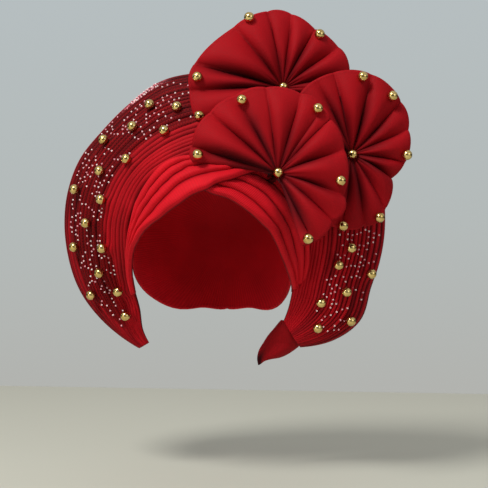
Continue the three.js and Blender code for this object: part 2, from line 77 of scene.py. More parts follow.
# %% Head and cloth sizes
MM = 0.001
Head = namedtuple("Head", "half_width half_depth crown neck")
HEAD = Head(72, 92, 78, 125)
CLOTH_WALL = 1.6
CAP_LIFT = 2
WRAP_LIFT = 4.8
FOLD_HEIGHT = 3.2
SWELL = 3.9
CROSS_OVER = 5.8
REACH, SET_BACK, STAND_OFF, ARCH, RIM_ROLL = 145, 14, 19, 7, 6
ROSETTE_RADIUS = 72
BEAD_RADIUS = 4.5


def mix(a, b, share):
    return a + (b - a) * share


def smooth_step(value, low, high):
    share = min(max((value - low) / (high - low), 0), 1)
    return share * share * (3 - 2 * share)


def over_head(turn, lean, lift):
    turn, lean = math.radians(turn), math.radians(lean)
    height = (HEAD.crown if math.cos(turn) >= 0 else HEAD.neck) + lift
    return Vector((
        (HEAD.half_width + lift) * math.cos(lean) * math.sin(turn),
        -(HEAD.half_depth + lift) * math.sin(lean),
        height * math.cos(lean) * math.cos(turn),
    ))


def smooth_value(rows, column, share):
    """A column of a table at a share of the way down it, with smooth bends through its rows."""
    last = len(rows) - 1
    at = min(max(share, 0), 1) * last
    i = min(int(at), last - 1)
    t = at - i
    a, b, c, d = (getattr(rows[min(max(k, 0), last)], column) for k in (i - 1, i, i + 1, i + 2))
    return b + 0.5 * t * (c - a + t * (2 * a - 5 * b + 4 * c - d + t * (3 * (b - c) + d - a)))


def straight_value(rows, column, place):
    """A column of a table at a place in its first column, on straight lines between its rows."""
    for before, after in zip(rows, rows[1:]):
        if place <= after[0]:
            share = max(0, (place - before[0]) / (after[0] - before[0]))
            return mix(getattr(before, column), getattr(after, column), share)
    return getattr(rows[-1], column)


print("a point on the brow:", [round(c, 1) for c in over_head(0, 60, WRAP_LIFT)])


# %% Objects and materials
def add_object(name, data):
    made = bpy.data.objects.new(name, data)
    bpy.context.scene.collection.objects.link(made)
    return made


def mesh_object(name, bm, material):
    mesh = bpy.data.meshes.new(name)
    bm.to_mesh(mesh)
    bm.free()
    mesh.materials.append(material)
    return add_object(name, mesh)


def new_material(name):
    material = bpy.data.materials.new(name)
    material.use_nodes = True
    return material, material.node_tree, material.node_tree.nodes["Principled BSDF"]


def linear(red, green, blue):
    """A screen colour, 0 to 255, as the shader's linear one."""
    shares = [c / 255 for c in (red, green, blue)]
    return [c / 12.92 if c <= 0.04045 else ((c + 0.055) / 1.055) ** 2.4 for c in shares] + [1]


print("a mid grey is", round(linear(128, 128, 128)[0], 3))

# %% [markdown]
# ## Camera
# The photographer stood a little to the right and level with the brow. A long lens from about a metre gives
# the same flat look. The lens length follows from how many millimetres the picture spans at the head.

# %% Camera
PICTURE_SPAN = 0.4392
CAMERA_DISTANCE = 1.08
CAMERA_PLACE = (0.1770, -1.0657, -0.0906)
CAMERA_TURN = 8
SENSOR = 36
camera_data = bpy.data.cameras.new("camera")
camera_data.sensor_width = SENSOR
camera_data.lens = SENSOR * CAMERA_DISTANCE / PICTURE_SPAN
camera = add_object("camera", camera_data)
bpy.context.scene.camera = camera
camera.location = CAMERA_PLACE
camera.rotation_euler = (math.radians(90), 0, math.radians(CAMERA_TURN))
print("lens", round(camera_data.lens, 1), "mm")

# %% [markdown]
# ## Table, light and air
# A plain pale table top with its far edge in the picture, as behind the real one. The light is soft and comes
# from above on the left, and two weak ones fill the shadows as a white room does. The air itself lights the
# cloth too: bright above, darker at the height of the eyes. That dark belt is what draws a line across each
# polished bead. Only the lens sees a pale wall, with painted light on it: a shade lighter and cooler at the
# top.

# %% Table top
TABLE_LEVEL = -0.303
table_paint, _, paint = new_material("Pale table")
paint.inputs["Base Color"].default_value = linear(194, 194, 180)
paint.inputs["Roughness"].default_value = 0.55
bm = bmesh.new()
bmesh.ops.create_grid(bm, x_segments=1, y_segments=1, size=0.5)
bmesh.ops.scale(bm, vec=(3.6, 1.9, 1), verts=bm.verts)
bmesh.ops.translate(bm, vec=(0, -0.285, TABLE_LEVEL), verts=bm.verts)
mesh_object("table_top", bm, table_paint)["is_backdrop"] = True
print("table top at", TABLE_LEVEL)


# %% Lights
def softbox(name, place, aim, size, power, tint):
    data = bpy.data.lights.new(name, "AREA")
    data.shape, data.size, data.energy, data.color = "DISK", size, power, tint
    lamp = add_object(name, data)
    lamp.location = place
    lamp.rotation_euler = (Vector(aim) - Vector(place)).to_track_quat("-Z", "Y").to_euler()


WARM, COOL = (1.0, 0.985, 0.965), (0.95, 0.98, 1.0)
softbox("key", place=(-0.58, -1.28, 1.45), aim=(0.02, 0, -0.02), size=0.62, power=36.5, tint=WARM)
softbox("low fill", place=(-1.1, -1.25, 0.05), aim=(-0.06, 0, -0.05), size=0.8, power=3, tint=WARM)
softbox("fill", place=(1.5, -1.1, 0.5), aim=(0.02, 0, -0.05), size=1.2, power=5, tint=COOL)
bpy.context.scene.view_settings.view_transform = "Standard"

# %% Air
world = bpy.data.worlds.new("air")
bpy.context.scene.world = world
world.use_nodes = True
air = world.node_tree
air.nodes.clear()
direction = air.nodes.new("ShaderNodeTexCoord")
split = air.nodes.new("ShaderNodeSeparateXYZ")
height = air.nodes.new("ShaderNodeMapRange")
height.inputs["From Min"].default_value = -1
belt = air.nodes.new("ShaderNodeValToRGB")
belt.color_ramp.elements[0].position = 0.30
belt.color_ramp.elements[0].color = (0.55, 0.55, 0.52, 1)
belt.color_ramp.elements[1].position = 1.0
belt.color_ramp.elements[1].color = (1.0, 1.0, 1.0, 1)
for position, grey in ((0.42, 0.48), (0.47, 0.04), (0.53, 0.03), (0.60, 0.42), (0.74, 0.66)):
    belt.color_ramp.elements.new(position).color = (grey, grey, grey, 1)
glow = air.nodes.new("ShaderNodeBackground")
glow.inputs["Strength"].default_value = 0.62
wall = air.nodes.new("ShaderNodeBackground")
# Painted light on the wall: lighter and cooler towards the top, warmer and darker towards the table.
painted_wall_light = air.nodes.new("ShaderNodeValToRGB")
painted_wall_light.color_ramp.elements[0].position, painted_wall_light.color_ramp.elements[0].color = 0.44, linear(178, 179, 175)
painted_wall_light.color_ramp.elements[1].position, painted_wall_light.color_ramp.elements[1].color = 0.60, linear(182, 190, 192)
painted_wall_light.color_ramp.elements.new(0.51).color = linear(180, 186, 185)
seen = air.nodes.new("ShaderNodeLightPath")
choice = air.nodes.new("ShaderNodeMixShader")
out = air.nodes.new("ShaderNodeOutputWorld")
for a, b in (
    (direction.outputs["Generated"], split.inputs[0]),
    (split.outputs["Z"], height.inputs["Value"]),
    (height.outputs["Result"], belt.inputs["Fac"]),
    (belt.outputs["Color"], glow.inputs["Color"]),
    (height.outputs["Result"], painted_wall_light.inputs["Fac"]),
    (painted_wall_light.outputs["Color"], wall.inputs["Color"]),
    (seen.outputs["Is Camera Ray"], choice.inputs["Fac"]),
    (glow.outputs[0], choice.inputs[1]),
    (wall.outputs[0], choice.inputs[2]),
    (choice.outputs[0], out.inputs["Surface"]),
):
    air.links.new(a, b)

# %% [markdown]
# ## Effects that several cloths share
# Each effect is a node group with named inputs, built once. **Threads** draws parallel lines at any slant:
# ribs, twill, or a net when two of them cross. **Dyed cloth and painted shade** mixes a lit colour and a
# shaded one by the painted shade a point carries in a fold, paints the ribs' light and shade into the colour
# as a tone, and lets the dye vary a little. **Hem** gives a doubled edge and its row of stitches.


# %% Helper for node groups
def node_group(name, inputs, outputs):
    tree = bpy.data.node_groups.new(name, "ShaderNodeTree")
    for socket, kind in inputs:
        tree.interface.new_socket(name=socket, in_out="INPUT", socket_type=kind)
    for socket, kind in outputs:
        tree.interface.new_socket(name=socket, in_out="OUTPUT", socket_type=kind)
    return tree, tree.nodes.new("NodeGroupInput"), tree.nodes.new("NodeGroupOutput")


def math_node(tree, operation, *values):
    node = tree.nodes.new("ShaderNodeMath")
    node.operation = operation
    for socket, value in zip(node.inputs, values):
        if isinstance(value, (int, float)):
            socket.default_value = value
        else:
            tree.links.new(value, socket)
    return node.outputs[0]


def range_node(tree, value, from_low, from_high, to_low, to_high):
    node = tree.nodes.new("ShaderNodeMapRange")
    tree.links.new(value, node.inputs["Value"])
    sockets = ("From Min", "From Max", "To Min", "To Max")
    for socket, number in zip(sockets, (from_low, from_high, to_low, to_high)):
        if isinstance(number, (int, float)):
            node.inputs[socket].default_value = number
        else:
            tree.links.new(number, node.inputs[socket])
    return node.outputs["Result"]


def noise_node(tree, vector, scale, detail):
    node = tree.nodes.new("ShaderNodeTexNoise")
    tree.links.new(vector, node.inputs["Vector"])
    node.inputs["Scale"].default_value = scale
    node.inputs["Detail"].default_value = detail
    return node.outputs["Fac"]


def mix_colour(tree, blend, factor, a, b):
    node = tree.nodes.new("ShaderNodeMix")
    node.data_type = "RGBA"
    node.blend_type = blend
    for socket, value in ((node.inputs[0], factor), (node.inputs[6], a), (node.inputs[7], b)):
        if hasattr(value, "links"):
            tree.links.new(value, socket)
        else:
            socket.default_value = value
    return node.outputs[2]


# %% Threads
FLOAT, VECTOR, COLOUR = "NodeSocketFloat", "NodeSocketVector", "NodeSocketColor"
threads_group, given, made = node_group(
    "Threads",
    [("Along the cloth", VECTOR), ("Lines across", FLOAT), ("Lines along", FLOAT), ("Strength", FLOAT)],
    [("Height", FLOAT)],
)
split = threads_group.nodes.new("ShaderNodeSeparateXYZ")
threads_group.links.new(given.outputs["Along the cloth"], split.inputs[0])
across = math_node(threads_group, "MULTIPLY", split.outputs["X"], given.outputs["Lines across"])
along = math_node(threads_group, "MULTIPLY", split.outputs["Y"], given.outputs["Lines along"])
lines = math_node(threads_group, "ADD", across, along)
wave = math_node(threads_group, "SINE", math_node(threads_group, "MULTIPLY", lines, 2 * math.pi))
half = math_node(threads_group, "MULTIPLY", given.outputs["Strength"], 0.5)
threads_group.links.new(math_node(threads_group, "MULTIPLY_ADD", wave, half, 0.5), made.inputs["Height"])

# %% Dyed cloth and painted shade
dye_and_shade_group, given, made = node_group(
    "Dyed cloth and painted shade",
    [("Lit", COLOUR), ("Deep", COLOUR), ("Fold depth", FLOAT), ("Threads", FLOAT), ("Place", VECTOR)],
    [("Colour", COLOUR), ("Roughness", FLOAT)],
)
# Painted shade: the lit colour turns to the deep, shaded one where a point lies in a fold's shadow.
deep = math_node(dye_and_shade_group, "POWER", given.outputs["Fold depth"], 1.3)
colour = mix_colour(dye_and_shade_group, "MIX", deep, given.outputs["Lit"], given.outputs["Deep"])
slow = noise_node(dye_and_shade_group, given.outputs["Place"], 24, 3)
fine = noise_node(dye_and_shade_group, given.outputs["Place"], 900, 2)
tone = math_node(dye_and_shade_group, "ADD", range_node(dye_and_shade_group, slow, 0.3, 0.7, 0.86, 1.08), -0.05)
tone = math_node(dye_and_shade_group, "ADD", tone, range_node(dye_and_shade_group, fine, 0.3, 0.7, -0.05, 0.05))
# Painted light and shade on the ribs: the thread lines lighten and darken the colour. The two noises above
# are the dye's own random tone.
tone = math_node(dye_and_shade_group, "ADD", tone, range_node(dye_and_shade_group, given.outputs["Threads"], 0, 1, -0.22, 0.22))
shade = dye_and_shade_group.nodes.new("ShaderNodeCombineColor")
for socket in shade.inputs:
    dye_and_shade_group.links.new(tone, socket)
colour = mix_colour(dye_and_shade_group, "MULTIPLY", 1.0, colour, shade.outputs[0])
dye_and_shade_group.links.new(colour, made.inputs["Colour"])
dye_and_shade_group.links.new(range_node(dye_and_shade_group, fine, 0.3, 0.7, 0.62, 0.78), made.inputs["Roughness"])

# %% Hem
hem_group, given, made = node_group(
    "Hem",
    [("From edge", FLOAT), ("Along the cloth", VECTOR), ("Width", FLOAT)],
    [("Height", FLOAT), ("Stitches", FLOAT)],
)
edge = given.outputs["From edge"]
inside = math_node(hem_group, "SUBTRACT", edge, given.outputs["Width"])
hem_group.links.new(range_node(hem_group, inside, -0.3, 0.3, 1, 0), made.inputs["Height"])
row = math_node(hem_group, "ABSOLUTE", math_node(hem_group, "ADD", inside, 0.9))
row = math_node(hem_group, "LESS_THAN", row, 0.3)
split = hem_group.nodes.new("ShaderNodeSeparateXYZ")
hem_group.links.new(given.outputs["Along the cloth"], split.inputs[0])
dash = math_node(hem_group, "SINE", math_node(hem_group, "MULTIPLY", split.outputs["X"], 2.4))
dash = math_node(hem_group, "GREATER_THAN", dash, -0.4)
hem_group.links.new(math_node(hem_group, "MULTIPLY", row, dash), made.inputs["Stitches"])
print("node groups:", [g.name for g in bpy.data.node_groups])

# %% [markdown]
# ## Cloth materials
# All three cloths are woven from the same red, but they don't look alike. The turban's is bright with fine
# ribs across it, the fans' is a deeper twill, and the wing's is a wine red under a dark net. The pattern
# follows a map that is drawn in millimetres along each sheet, so a rib is as wide as on the real one.


# %% Cloth material
def group_node(tree, group, **values):
    node = tree.nodes.new("ShaderNodeGroup")
    node.node_tree = group
    for socket, value in values.items():
        target = node.inputs[socket.replace("_", " ")]
        if hasattr(value, "links"):
            tree.links.new(value, target)
        else:
            target.default_value = value
    return node


def attribute(tree, name):
    node = tree.nodes.new("ShaderNodeAttribute")
    node.attribute_name = name
    return node.outputs["Fac"]


def bump(tree, height, strength, distance, under=None):
    node = tree.nodes.new("ShaderNodeBump")
    node.inputs["Strength"].default_value = strength
    node.inputs["Distance"].default_value = distance
    tree.links.new(height, node.inputs["Height"])
    if under:
        tree.links.new(under, node.inputs["Normal"])
    return node.outputs["Normal"]


def cloth_material(name, lit, deep, across, along, thread_depth, hem_width):
    material, tree, shader = new_material(name)
    on_sheet = tree.nodes.new("ShaderNodeUVMap")
    on_sheet.uv_map = "threads"
    place = tree.nodes.new("ShaderNodeTexCoord").outputs["Object"]
    threads = group_node(
        tree,
        threads_group,
        Along_the_cloth=on_sheet.outputs[0],
        Lines_across=across,
        Lines_along=along,
        Strength=attribute(tree, "ribbed"),
    ).outputs["Height"]
    # The sheet's painted fold shade turns its colour towards the shaded one.
    depth = attribute(tree, "painted_fold_shade")
    dyed = group_node(tree, dye_and_shade_group, Lit=lit, Deep=deep, Fold_depth=depth, Threads=threads, Place=place)
    edge = attribute(tree, "from_edge")
    hem = group_node(tree, hem_group, From_edge=edge, Along_the_cloth=on_sheet.outputs[0], Width=hem_width)
    stitches = math_node(tree, "MULTIPLY", hem.outputs["Stitches"], 0.22)
    colour = mix_colour(tree, "MIX", stitches, dyed.outputs["Colour"], deep)
    tree.links.new(colour, shader.inputs["Base Color"])
    tree.links.new(dyed.outputs["Roughness"], shader.inputs["Roughness"])
    ribs = bump(tree, threads, 0.6, thread_depth)
    tree.links.new(bump(tree, hem.outputs["Height"], 0.4, 0.0002, ribs), shader.inputs["Normal"])
    shader.inputs["Sheen Weight"].default_value = 0.03
    shader.inputs["Sheen Roughness"].default_value = 0.4
    shader.inputs["Sheen Tint"].default_value = (1.0, 0.12, 0.16, 1)
    shader.inputs["Specular IOR Level"].default_value = 0.1
    return material


# Each cloth gets a lit colour and a shaded copy of it. The shaded copy is painted into the folds as shade,
# and the hem stitches use it too. DEEP_WINE is that shaded copy for the fans and the tie.
DEEP_WINE = linear(48, 0, 5)
turban_red = cloth_material("Turban cloth", linear(202, 18, 32), linear(78, 0, 7), 0.4, 0, 0.0003, 3.2)
rosette_red = cloth_material("Rosette twill", linear(154, 7, 18), DEEP_WINE, 0.7, 0.7, 0.00015, 3.0)
tie_red = cloth_material("Tie end cloth", linear(150, 8, 18), DEEP_WINE, 0.7, 0, 0.00015, 3.0)

# %% [markdown]
# The wing has a second cloth over its middle: a dark net with stones on it. Where the net lies, the cloth
# looks darker and slightly purple. The sheet carries that as a mask of its own, called *netted*, and the net
# is two sets of threads that cross. The rolled rim at the top left is frosted, and its tiny sparkles are
# painted glints: pale pink specks in the colour.

# %% Wing material
# The wing too has a lit colour and a near-black shaded copy, painted into its pleat grooves as shade.
wing_red = cloth_material("Wing cloth", linear(176, 11, 24), linear(12, 0, 3), 0.6, 0, 0.00012, 2.0)
tree = wing_red.node_tree
shader = tree.nodes["Principled BSDF"]
on_sheet = next(n for n in tree.nodes if n.bl_idname == "ShaderNodeUVMap").outputs[0]
NET_THREADS = 0.36
one_way, other_way = (
    group_node(
        tree,
        threads_group,
        Along_the_cloth=on_sheet,
        Lines_across=NET_THREADS,
        Lines_along=slant,
        Strength=1.0,
    ).outputs["Height"]
    for slant in (NET_THREADS, -NET_THREADS)
)
net = math_node(tree, "MULTIPLY", one_way, other_way)
net = range_node(tree, net, 0.45, 0.8, 0.0, 1.0)
netted = attribute(tree, "netted")
net = math_node(tree, "MULTIPLY", net, netted)
plain = shader.inputs["Base Color"].links[0].from_socket
veiled = mix_colour(tree, "MULTIPLY", netted, plain, linear(204, 120, 150))
veiled = mix_colour(tree, "MIX", math_node(tree, "MULTIPLY", net, 0.7), veiled, linear(34, 0, 8))
frost = attribute(tree, "frosted")
place = next(n for n in tree.nodes if n.bl_idname == "ShaderNodeTexCoord").outputs["Object"]
# Painted glints: pale pink specks on the frosted rim stand for light sparkling off it.
painted_glints = range_node(tree, noise_node(tree, place, 620, 1), 0.54, 0.66, 0.12, 1.0)
frost = math_node(tree, "MULTIPLY", frost, painted_glints)
tree.links.new(mix_colour(tree, "MIX", frost, veiled, linear(226, 118, 130)), shader.inputs["Base Color"])
under = shader.inputs["Normal"].links[0].from_socket
tree.links.new(bump(tree, net, 0.7, 0.0003, under), shader.inputs["Normal"])
print("cloth materials:", [m.name for m in bpy.data.materials])

# %% [markdown]
# ## How a sheet of cloth is made
# Each sheet starts as a flat grid, which is what cloth is before it is folded. A function says where each
# point of the grid lies on the head, and the same function says how much painted shade it carries in the
# folds and how far it is from the hem. A Solidify modifier then gives the sheet its wall. Modelling the folds
# by hand would also work, but then no fold could be moved by changing one number.


# %% Sheet of cloth
ABOUT_HEAD = Vector((0, 0, -HEAD.crown))
# painted_fold_shade is painted shade: it darkens a sheet's colour where its folds, tucks and grooves lie in
# shadow.
FACTS = ("painted_fold_shade", "from_edge", "ribbed", "netted", "frosted")
FAR_FROM_EDGE = 99
WELD = 0.00002


def cloth_sheet(name, columns, rows, place, flat, material, closed=False):
    bm = bmesh.new()
    threads = bm.loops.layers.uv.new("threads")
    layers = {fact: bm.verts.layers.float.new(fact) for fact in FACTS}
    bmesh.ops.create_grid(bm, x_segments=columns, y_segments=rows, size=0.5, calc_uvs=True)
    for vert in bm.verts:
        point, facts = place(min(max(vert.co.x + 0.5, 0), 1), min(max(vert.co.y + 0.5, 0), 1))
        vert.co = (point + ABOUT_HEAD) * MM
        for fact in FACTS:
            vert[layers[fact]] = facts.get(fact, FAR_FROM_EDGE if fact == "from_edge" else 0)
    for face in bm.faces:
        face.smooth = True
        for loop in face.loops:
            loop[threads].uv = (loop[threads].uv.x * flat[0], loop[threads].uv.y * flat[1])
    if closed:
        bmesh.ops.remove_doubles(bm, verts=bm.verts, dist=WELD)
        bmesh.ops.recalc_face_normals(bm, faces=bm.faces)
    return cloth_piece(name, bm, material)


def cloth_piece(name, bm, material):
    piece = mesh_object(name, bm, material)
    wall = piece.modifiers.new("wall", "SOLIDIFY")
    wall.thickness = CLOTH_WALL * MM
    wall.offset = 0
    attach(piece, "root")
    print(name, "faces", len(piece.data.polygons))
    return piece


# %% [markdown]
# ## Where the beads pull
# A bead is sewn on through the cloth, and its stitch draws the cloth up to it. So a point of cloth close
# under a bead is moved out along the cloth's outward direction, up to the seat of the bead. Cloth that lies
# deeper than the stitch can pull belongs to another layer and stays.

# %% Stitches of the beads
bead_nodes = sorted(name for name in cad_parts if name.startswith("bead_"))
bead_places = [(low + high) / 2 / MM - ABOUT_HEAD for low, high in map(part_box, bead_nodes)]
BEAD_SEAT, PULL, PULL_WIDTH = BEAD_RADIUS - 0.4, 4.5, 6
DEEPEST_PULLED = BEAD_SEAT + PULL + 1
PULL_REACH_SQUARED = 150


def drawn_up(point, outward):
    for bead in bead_places:
        gap = bead - point
        if gap.length_squared > PULL_REACH_SQUARED:
            continue
        high = gap.dot(outward)
        if BEAD_SEAT < high < DEEPEST_PULLED:
            aside = (gap - outward * high).length
            point = point + outward * min(high - BEAD_SEAT, PULL) * math.exp(-((aside / PULL_WIDTH) ** 2))
    return point


print("beads that pull:", len(bead_places))

# %% [markdown]
# ## The cap
# The cap is the cloth pulled flat over the crown and the back of the head. Nobody sees much of it, so it
# stays plain: a sheet that closes on itself down the back and to a point behind, with small soft creases.

# %% Cap
CapRim = namedtuple("CapRim", "turn lean")
CAP_RIM = [CapRim(*row) for row in (
    (-180, -54), (-150, -48), (-125, -22), (-112, 2), (-103, 20), (-92, 38), (-75, 54), (-40, 60), (0, 60),
    (45, 56), (75, 44), (92, 32), (103, 16), (112, -2), (125, -22), (150, -48), (180, -54),
)]


def cap_place(u, v):
    turn = smooth_value(CAP_RIM, "turn", u)
    rim = smooth_value(CAP_RIM, "lean", u)
    lean = mix(-90, rim, v)
    crease = 0.5 * noise.noise(over_head(turn, lean, 0) * 0.06)
    # Painted shade: the cap grows a little darker towards its point behind.
    facts = {"from_edge": (rim - lean) * 1.5, "painted_fold_shade": 0.25 * (1 - v), "ribbed": 0.4}
    return over_head(turn, lean, CAP_LIFT + crease), facts


cap_cloth = cloth_sheet("cap_cloth", 96, 34, cap_place, (420, 190), turban_red, closed=True)
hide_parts("cap")

# %% [markdown]
# ## The wraps
# Each wrap is one width of cloth gathered into five folds. A fold swells out of the tuck below it and falls
# off towards the next tuck, so it has a short steep side and a long soft one. Real folds wander, so the tucks
# move up and down a little on their way across the forehead. The right wrap stands off the ear and laps over
# the first pleats of the wing, which the column *flare* says. A table row is one place along the wrap: where
# its near and far edges lie, and how far it is raised over the other wrap.

# %% Wraps
Wrap = namedtuple("Wrap", "near_turn near_lean far_turn far_lean raised flare", defaults=(0,))
LEFT_WRAP = [Wrap(*row) for row in (
    (-117, 20, -116, 14, 0), (-101, 37, -99, 29, 0), (-95, 47, -90, 36, 0), (-86, 58, -76, 39, 0),
    (-68, 68, -61, 39, 0), (-30, 73, -46, 41, 0.4), (12, 69, -28, 44, 1), (26, 62, -8, 46, 1),
    (38, 53, 10, 44, 1), (46, 38, 20, 34, 1),
)]
RIGHT_WRAP = [Wrap(*row) for row in (
    (2, 66, 12, 46, 0, 0), (26, 67, 34, 42, 0, 0), (48, 63, 46, 34, 0, 1), (68, 57, 57, 28, 0, 4),
    (84, 48, 72, 23, 0, 7), (96, 36, 86, 17, 0, 9), (104, 25, 96, 12, 0, 11), (110, 12, 105, 7, 0, 9),
    (115, -3, 113, -2, 0, 3),
)]
LEFT_TUCKS = (0, 0.31, 0.55, 0.77, 1)
RIGHT_TUCKS = (0, 0.25, 0.56, 0.87, 1)
CREST = 0.26


def fold_height(share):
    if share < CREST:
        return math.sin(share / CREST * math.pi / 2) ** 0.8
    return math.cos((share - CREST) / (1 - CREST) * math.pi / 2) ** 0.9


def in_fold(tucks, share):
    """How far a share lies between the tuck below it and the next one, from 0 to 1."""
    for low, high in zip(tucks, tucks[1:]):
        if share < high:
            return (share - low) / (high - low)
    return 0


def wrap_place(rows, tucks, wander, ribbed):
    def place(u, v):
        drift = noise.noise(Vector((u * 5, v * 2.5, wander * 40)))
        drift += 0.9 * v * noise.noise(Vector((u * 17, v * 4, 8)))
        in_band = in_fold(tucks, min(max(v + wander * math.sin(math.pi * v) * drift, 0), 1))
        turn = mix(smooth_value(rows, "near_turn", u), smooth_value(rows, "far_turn", u), v)
        lean = mix(smooth_value(rows, "near_lean", u), smooth_value(rows, "far_lean", u), v)
        lift = WRAP_LIFT + CROSS_OVER * smooth_value(rows, "raised", u) + SWELL * fold_height(in_band)
        lift += 0.6 * noise.noise(Vector((u * 9, v * 9, 3))) + smooth_value(rows, "flare", u) * v ** 1.6
        # Painted shade at the tucks: a dark line just above each tuck, and a darkening on the long side as it
        # falls into the next tuck.
        tuck = max(0, 1 - in_band / 0.08, ((in_band - 0.55) / 0.45) ** 2 if in_band > 0.55 else 0)
        ribs = mix(*ribbed, smooth_step(u, 0.1, 0.5))
        return over_head(turn, lean, lift), {"painted_fold_shade": tuck, "from_edge": v * 60, "ribbed": ribs}

    return place


wrap_left_cloth = cloth_sheet(
    "wrap_left_cloth", 96, 96, wrap_place(LEFT_WRAP, LEFT_TUCKS, 0.075, (0.1, 0.2)),
    (215, 62), turban_red,
)
wrap_right_cloth = cloth_sheet(
    "wrap_right_cloth", 96, 96, wrap_place(RIGHT_WRAP, RIGHT_TUCKS, 0.03, (2.0, 0.15)),
    (225, 62), turban_red,
)
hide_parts("wrap_left")
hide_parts("wrap_right")

# %% [markdown]
# ## The pleated wing
# The wing is one long cloth pressed into narrow pleats that run the whole way round the head. Its inner edge
# lies on the head and its outer edge on a larger ring, and each table row is one place along the way: first
# where the inner edge lies, then where the outer one does. A pleat rises slowly to its pressed edge and drops
# steeply to the next. The net covers a belt in the middle.

# %% Wing
Section = namedtuple("Section", "turn lean lift outer_turn reach back")
WING_SECTIONS = [Section(*row) for row in (
    (-136, -6, 1.0, -146, 0.89, 1.0), (-130, -3, 0.83, -137, 0.91, 1.0), (-122, 1, 0.45, -125, 0.94, 1.1),
    (-113, 8, 0.3, -113, 0.968, 1.3), (-104, 20, 0.2, -99, 0.982, 1.4), (-94, 29, 0.25, -87, 0.993, 1.4),
    (-78, 37, 0.3, -76, 0.998, 1.3), (-64, 39, 0.3, -63, 0.992, 1.1), (-47, 42, 0.35, -49, 0.966, 1.0),
    (-30, 45, 0.4, -34, 0.975, 1.0), (-11, 45, 0.45, -20, 1.003, 1.0), (8, 42, 0.6, -4, 0.99, 1.0),
    (27, 35, 0.72, 12, 1.0, 1.0), (46, 26, 0.85, 31, 1.03, 1.0), (64, 21, 0.85, 50, 1.05, 1.0),
    (79, 16, 0.6, 68, 1.07, 1.0), (91, 13, 0.42, 85, 1.05, 1.0), (97, 9, 0.35, 94, 1.04, 1.0),
    (103, 5, 0.3, 103, 1.03, 1.0), (109, 2, 0.3, 111, 1.025, 1.0), (116, 0, 0.35, 122, 1.055, 1.0),
    (122, -2, 0.4, 133, 1.0, 1.0), (128, -3, 0.42, 144, 0.9, 1.1),
)]
PLEATS = 21
PLEAT_HEIGHT = 4
PRESSED = 0.6


def wing_edges(along):
    value = {column: smooth_value(WING_SECTIONS, column, along) for column in Section._fields}
    inner = over_head(value["turn"], value["lean"], STAND_OFF * value["lift"])
    reach, turn = REACH * value["reach"], math.radians(value["outer_turn"])
    return inner, Vector((reach * math.sin(turn), SET_BACK * value["back"], reach * math.cos(turn)))


def wing_normal(inner, outer):
    outward = Vector((inner.x + outer.x, 0, inner.z + outer.z)).normalized()
    return -(outer - inner).cross(Vector((outward.z, 0, -outward.x))).normalized()


def wing_point(along, across, relief=0):
    inner, outer = wing_edges(along)
    point = inner.lerp(outer, across)
    point += wing_normal(inner, outer) * (ARCH * math.sin(math.pi * across) + relief)
    point.y += RIM_ROLL * max(0, across * 16 - 15) ** 1.5
    return point


# %% Where the net and the frosted rim lie
Belt = namedtuple("Belt", "along inner outer")
NET_BELT = [Belt(*row) for row in (
    (0.06, 0.40, 0.42), (0.09, 0.17, 0.57), (0.127, 0.14, 0.65), (0.16, 0.14, 0.71), (0.205, 0.21, 0.77),
    (0.25, 0.27, 0.84), (0.31, 0.31, 0.91), (0.37, 0.33, 0.95), (0.41, 0.30, 0.96), (0.48, 0.27, 0.97),
    (0.60, 0.30, 0.95), (0.727, 0.40, 0.93), (0.805, 0.41, 0.95), (0.86, 0.375, 0.97), (0.91, 0.325, 0.96),
    (0.95, 0.50, 0.80), (0.965, 0.60, 0.62),
)]
FROST_FROM, FROST_TO = 0.408, 0.448


def in_belt(along, across):
    if not NET_BELT[0].along < along < NET_BELT[-1].along:
        return 0
    low, high = (straight_value(NET_BELT, column, along) for column in ("inner", "outer"))
    from_inner = smooth_step(across, low - 0.012, low + 0.012)
    return from_inner * (1 - smooth_step(across, high - 0.015, high + 0.015))


# %% Wing cloth
chance = random.Random(11)
PleatWave = namedtuple("PleatWave", "beat phase swing height shut")
WAVE_LIMITS = ((1.5, 4), (0, 6.3), (0.08, 0.24), (0.7, 1.12), (0.26, 0.56))
pleat_waves = [PleatWave(*(chance.uniform(*limits) for limits in WAVE_LIMITS)) for _ in range(PLEATS + 1)]


def pleat_border(k, along):
    wave = pleat_waves[k]
    swing = wave.swing * math.sin(2 * math.pi * wave.beat * along + wave.phase)
    share = (k + (swing if 0 < k < PLEATS else 0)) / PLEATS
    return 0.7 * share + 0.3 * share * share


def pleat_rise(share):
    if share < PRESSED:
        return math.sin(share / PRESSED * math.pi / 2) ** 0.7
    return math.cos((share - PRESSED) / (1 - PRESSED) * math.pi / 2) ** 0.8


def pleat_height(k, across):
    """Pleats are pressed flatter towards the rim, and each has its own height."""
    return PLEAT_HEIGHT * pleat_waves[k].height * (1 - 0.4 * smooth_step(across, 0.6, 1))


def pleat_room(inner, outer):
    """Pleats are lower where the wing is narrow."""
    return min(1, (outer - inner).length / (REACH - HEAD.half_width))


